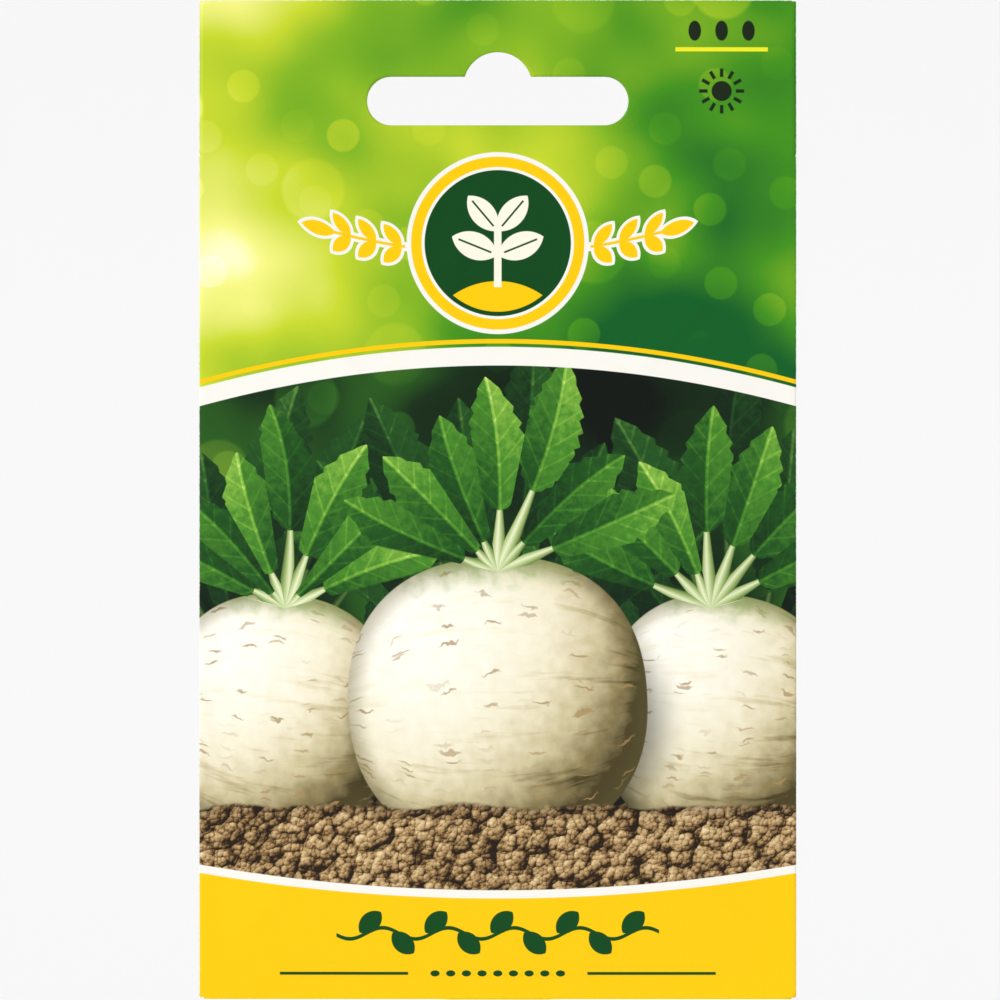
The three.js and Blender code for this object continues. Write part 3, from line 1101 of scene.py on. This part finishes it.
def new_material(name):
    """A material with its shader, and a point's place in mm."""
    made = bpy.data.materials.new(name)
    made.use_nodes = True
    shader = made.node_tree.nodes["Principled BSDF"]
    return made, shader, place_in_mm(made.node_tree)


def relief(shader, height, strength, distance):
    """Feeds a height to the shader as fine relief, distance deep in mm."""
    bump = shader.id_data.nodes.new("ShaderNodeBump")
    bump.inputs["Strength"].default_value = strength
    bump.inputs["Distance"].default_value = distance * mm
    feed(bump.inputs["Height"], height)
    shader.id_data.links.new(bump.outputs["Normal"], shader.inputs["Normal"])


def printed(name, draw):
    """Varnished paper whose ink is draw(x, z)."""
    made, shader, (x, y, z) = new_material(name)
    inked, roughness, height = varnished(draw(x, z), x, y, z)
    feed(shader.inputs["Base Color"], inked)
    feed(shader.inputs["Roughness"], roughness)
    shader.inputs["Specular IOR Level"].default_value = 0.15
    relief(shader, height, 0.3, 0.03)
    return made


def unprinted(name):
    """The blank's bare white side and cut edges: matt, with its fibres plain to see."""
    made, shader, place = new_material(name)
    fibres, cloud = paper_fibres(*place)
    tone = (fibres * 0.7 + cloud * 0.3).colours((0.3, ink(226, 222, 210)), (0.7, ink(248, 246, 240)))
    feed(shader.inputs["Base Color"], tone)
    feed(shader.inputs["Roughness"], fibres * 0.15 + 0.75)
    relief(shader, fibres, 0.5, 0.03)
    return made


# The front is printed in five zones, one material each, so that each draws only what it shows.
for name, draw in (("header_print", header_zone), ("leaf_print", leaf_zone),
                   ("crown_print", crown_zone), ("root_print", root_zone),
                   ("band_print", band_zone), ("header_flap_print", header_flap_zone),
                   ("back_print", back_zone), ("foot_flap_print", foot_flap_zone)):
    envelope.data.materials.append(printed(name, draw))
bare_paper = unprinted("unprinted_paper")
for _ in range(finish_count):
    envelope.data.materials.append(bare_paper)


# ---- The glue -------------------------------------------------------------------------------
# Four films of dried dispersion glue, rolled on in stripes before the blank is folded. Each
# lies between two layers and stops short of their edges.

glue_thickness = 0.036
glue_depth = 0.095  # from a lower layer's middle to the middle of the glue on it
slot_rim = 0.6  # how far the header's glue stops short of the slot's edge


def lines_between(lines, low, high):
    """The grid lines from low to high, with one at each end."""
    inner = lines[(lines > low + 0.1) & (lines < high - 0.1)]
    return np.concatenate([[low], inner, [high]])


def in_header(x, z):
    """Halfway between the header's two layers."""
    return bow(x, z)


def on_back(x, z):
    """Just outside the back panels."""
    return raised(x, z) + glue_depth


def in_seam(x, z):
    """Just outside the right back panel."""
    return under_depth(x, z) + glue_depth


made, shader, (x, _, z) = new_material("dry_glue")
streaks = noise(x * 0.12, z, 0.8, 3.0)
feed(shader.inputs["Base Color"], streaks.colours((0.3, ink(214, 196, 150)), (0.7, ink(240, 230, 200))))
feed(shader.inputs["Roughness"], streaks * 0.3 + 0.25)
relief(shader, streaks, 0.4, 0.02)

for node, depth, slot in (("header_glue", in_header, True), ("header_flap_glue", on_back, False),
                          ("back_seam_glue", in_seam, False), ("bottom_flap_glue", on_back, False)):
    low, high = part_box(node)
    sheet = Blank()
    sheet.sheet(lines_between(x_lines, low.x / mm, high.x / mm),
                lines_between(all_lines, low.z / mm, high.z / mm), depth, slot=slot, grow=slot_rim)
    stripe = piece_of(node + "_film", sheet.mesh(node + "_film"))
    thicken(stripe, glue_thickness)
    stripe.data.materials.append(made)
    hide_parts(node)


# ---- The sachet -----------------------------------------------------------------------------
# An inner bag of foil-lined paper that keeps the seeds dry. Two films are sealed face to face
# round all four sides between ribbed jaws, and it lies loose in the envelope.

sachet_low, sachet_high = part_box("sachet_front_film")
sachet_half = sachet_high.x / mm
sachet_foot = sachet_low.z / mm
sachet_top = sachet_high.z / mm
film = 0.07
film_gap = 0.018  # half the space that is left between the films in the seals
seal = 5
sachet_bulge = 1.36
rib_pitch = 1.5
rib_height = 0.035
pucker_share = 0.12


def puckers(x, z):
    """Slight puckers that run in from the side and upper seals, as shares of the bulge: two sine
    waves, one slanting and one bent, fading inwards."""
    near_side = smooth(np.abs(x), sachet_half * 0.42, sachet_half * 0.88)
    near_top = smooth(z, sachet_top - seal - 16, sachet_top - seal - 3)
    return (pucker_share * near_side * np.sin(z * 0.9 + np.abs(x) * 0.5)
            + pucker_share * near_top * np.sin(x * 0.8 + np.cos(z * 0.3)))


def sachet_swell(x, z):
    """Half the distance between the films: a puckered pillow inside the seals, flat in them."""
    bulge = pillow(x, z, sachet_half - seal / 2, sachet_foot + seal, sachet_top - seal, sachet_bulge,
                   flatness=4, rise=0.6, fall=1.1)
    return film / 2 + film_gap + bulge * (1 + puckers(x, z))


def sealed_ribs(x, z):
    """The ribs that the jaws press into both films at once: a sine wave upwards, in the seals."""
    side = smooth(np.abs(x), sachet_half - seal + 0.2, sachet_half - seal + 1)
    ends = smooth(np.abs(z - (sachet_foot + sachet_top) / 2),
                  (sachet_top - sachet_foot) / 2 - seal + 0.2, (sachet_top - sachet_foot) / 2 - seal + 1)
    return rib_height * np.sin(z * 2 * math.pi / rib_pitch) * np.maximum(side, ends)


made, shader, (x, _, z) = new_material("foil_paper")
crinkle, luck, _ = cells(x, z, 0.35)
grain = noise(x * 0.2, z, 2.5, 2.0)
feed(shader.inputs["Base Color"],
     (luck[0] * 0.6 + grain * 0.4).colours((0.2, ink(176, 178, 176)), (0.8, ink(214, 214, 208))))
feed(shader.inputs["Roughness"], grain * 0.14 + luck[1] * 0.08 + 0.24)
shader.inputs["Metallic"].default_value = 0.75
relief(shader, crinkle * 0.8 + grain * 0.2, 0.5, 0.06)

sachet_xs = stretches(-sachet_half, (-sachet_half + seal, 1), (sachet_half - seal, 1.6),
                      (sachet_half, 1))
sachet_zs = stretches(sachet_foot, (sachet_top, rib_pitch / 5))
for node, side in (("sachet_front_film", -1), ("sachet_back_film", 1)):
    sheet = Blank()
    sheet.sheet(sachet_xs, sachet_zs,
                lambda x, z: side * sachet_swell(x, z) + sealed_ribs(x, z) + bow(x, z),
                back=side > 0)
    wall = piece_of(node.replace("film", "wall"), sheet.mesh(node))
    thicken(wall, film)
    wall.data.materials.append(made)
    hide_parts(node)


# ---- The seeds ------------------------------------------------------------------------------
# Half-fruits of parsley: each is a curved oval with five ribs along it. The top ones lie in one
# layer behind the front film, and the rest fill the sachet below and behind them.

seed_rows = 3
seed_columns = 14
seed_nodes = [f"seed_{number:02d}" for number in range(1, seed_rows * seed_columns + 1)]
seed_length = 2.6
seed_width = 1.3
seed_thickness = 0.85
seed_pitch = 3
seed_depth = 0.5
seed_top = -75
fill_foot = -99
seed_rib = 0.08
seed_curve = 0.1
golden_angle = math.pi * (3 - math.sqrt(5))


def seed_shape(around=10, along=7):
    """One seed about the origin, its length upwards. Its radius goes from end to end as the sine
    of the run to the power 0.8, waves five times round by the share seed_rib, and its middle is
    pushed sideways by up to seed_curve."""
    run = np.linspace(0, math.pi, along)[1:-1]
    turn = np.arange(around) * 2 * math.pi / around
    radius = np.sin(run)[:, None] ** 0.8 * (1 + seed_rib * np.cos(5 * turn))[None]
    x = radius * np.cos(turn) * seed_width / 2 + seed_curve * np.sin(run)[:, None] - seed_curve / 2
    y = radius * np.sin(turn) * seed_thickness / 2 / (1 + seed_rib)
    z = np.repeat(-np.cos(run)[:, None], around, 1) * seed_length / 2
    ends = np.array([[-seed_curve / 2, 0, -seed_length / 2], [-seed_curve / 2, 0, seed_length / 2]])
    points = np.concatenate([np.stack([x, y, z], axis=2).reshape(-1, 3), ends])
    here = np.arange(around)
    after = (here + 1) % around
    rings = [np.stack([here, after, after + around, here + around], axis=1) + around * ring
             for ring in range(along - 3)]
    low, high = len(points) - 2, len(points) - 1
    last = around * (along - 3)
    caps = [np.stack([after, here, np.full(around, low)], axis=1),
            np.stack([here + last, after + last, np.full(around, high)], axis=1)]
    return points, np.concatenate(rings), np.concatenate(caps)


def seed_heap(name, places, turns):
    """Seeds at the given places, each turned about Y by its angle, as one mesh."""
    points, quads, caps = seed_shape()
    c, s = np.cos(turns)[:, None], np.sin(turns)[:, None]
    x = points[:, 0] * c + points[:, 2] * s
    z = points[:, 2] * c - points[:, 0] * s
    y = np.repeat(points[None, :, 1], len(turns), 0)
    spread = np.stack([x, y, z], axis=2) + places[:, None]
    step = (np.arange(len(turns)) * len(points))[:, None, None]
    faces = (quads[None] + step).reshape(-1, 4).tolist() + (caps[None] + step).reshape(-1, 3).tolist()
    data = bpy.data.meshes.new(name)
    data.from_pydata((spread.reshape(-1, 3) * mm).tolist(), [], faces)
    data.polygons.foreach_set("use_smooth", np.ones(len(data.polygons), dtype=bool))
    return piece_of(name, data)


def seed_grid(depth, first_row, rows):
    """The places of whole rows of seeds at that depth, and their turns by the golden angle."""
    row, column = np.divmod(np.arange(first_row * seed_columns, (first_row + rows) * seed_columns),
                            seed_columns)
    places = np.stack([(column - (seed_columns - 1) / 2) * seed_pitch, np.full(len(row), depth),
                       seed_top - row * seed_pitch], axis=1)
    return places, (row * seed_columns + column) * golden_angle


made, shader, (x, _, z) = new_material("seed_coat")
skin = noise(x, z, 3.0, 3.0, 0.6)
batch = noise(x, z, 0.3, 1.0)
feed(shader.inputs["Base Color"],
     (skin * 0.6 + batch * 0.4).colours((0.25, ink(84, 70, 40)), (0.5, ink(134, 114, 70)),
                                        (0.75, ink(178, 160, 110))))
feed(shader.inputs["Roughness"], skin * 0.2 + 0.65)
relief(shader, skin, 0.5, 0.05)

front_rows = round((seed_top - fill_foot) / seed_pitch) + 1
top_seeds = seed_heap("top_seeds", *seed_grid(-seed_depth, 0, seed_rows))
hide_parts(*seed_nodes)
front_fill = seed_grid(-seed_depth, seed_rows, front_rows - seed_rows)
back_fill = seed_grid(seed_depth, 0, front_rows)
turned_on = 1.2  # so that the back layer doesn't repeat the front one
seed_fill = seed_heap("seed_fill", np.concatenate([front_fill[0], back_fill[0]]),
                      np.concatenate([front_fill[1], back_fill[1] + turned_on]))
for seeds in (top_seeds, seed_fill):
    seeds.data.materials.append(made)


# ---- The studio -----------------------------------------------------------------------------
# A pale round floor under the hanging packet, which rises round it as a shallow dish, so that it
# is the backdrop too. An even sky fills it, with wide soft lights from far off: one on the front
# from the left, one from above on the right, and one on the back.

hang_height = 0.05  # the studio's sizes are in metres
floor_level = foot * mm - hang_height
flat_radius = 0.4
dish_radius = 2.5
dish_rise = 0.12  # the dish rises by this much times the square of the way out from the flat part
radius = np.concatenate([[0], np.linspace(flat_radius, dish_radius, 25)])
turn = np.linspace(0, 2 * math.pi, 97)[:, None]
rise = floor_level + dish_rise * np.maximum(radius - flat_radius, 0) ** 2
points = np.stack(np.broadcast_arrays(radius * np.cos(turn), radius * np.sin(turn), rise), axis=2)
data = bpy.data.meshes.new("dish_floor")
data.from_pydata(points.reshape(-1, 3).tolist(), [], grid_quads(len(radius), len(turn)).tolist())
data.polygons.foreach_set("use_smooth", np.ones(len(data.polygons), dtype=bool))
dish_floor = bpy.data.objects.new("dish_floor", data)
bpy.context.scene.collection.objects.link(dish_floor)
made = bpy.data.materials.new("pale_floor")
made.use_nodes = True
shader = made.node_tree.nodes["Principled BSDF"]
shader.inputs["Base Color"].default_value = (0.93, 0.93, 0.93, 1)
shader.inputs["Roughness"].default_value = 0.9
shader.inputs["Specular IOR Level"].default_value = 0.0
data.materials.append(made)

world = bpy.data.worlds.new("studio")
world.use_nodes = True
world.node_tree.nodes["Background"].inputs["Color"].default_value = (1, 1, 1, 1)
world.node_tree.nodes["Background"].inputs["Strength"].default_value = 0.3
bpy.context.scene.world = world
bpy.context.scene.view_settings.view_transform = "Standard"

packet_middle = Vector((0, 0, (top + foot) / 2 * mm))


def far_light(name, place, spread, strength):
    """A light so far off that it is even all over, from the direction of place. spread is how
    wide it looks, in degrees."""
    light = bpy.data.lights.new(name, "SUN")
    light.angle = math.radians(spread)
    light.energy = strength
    shown = bpy.data.objects.new(name, light)
    bpy.context.scene.collection.objects.link(shown)
    shown.location = place
    shown.rotation_mode = "QUATERNION"
    shown.rotation_quaternion = (packet_middle - Vector(place)).to_track_quat("-Z", "Y")


far_light("key_light", (-1.0, -0.8, 0.6), 16, 2.0)
far_light("fill_light", (0.9, -0.9, 1.5), 50, 0.55)
far_light("back_light", (0.8, 0.7, 0.5), 20, 1.7)

camera = bpy.data.objects.new("camera", bpy.data.cameras.new("camera"))
bpy.context.scene.collection.objects.link(camera)
bpy.context.scene.camera = camera
camera.data.lens = 180
camera.data.sensor_width = 36
seen_height = (top - foot) * mm
distance = seen_height * camera.data.lens / camera.data.sensor_width
aside = 0.0003  # the packet stands this much left of the view's middle
camera.location = (aside, -distance, packet_middle.z)
camera.rotation_euler = (math.pi / 2, 0, 0)
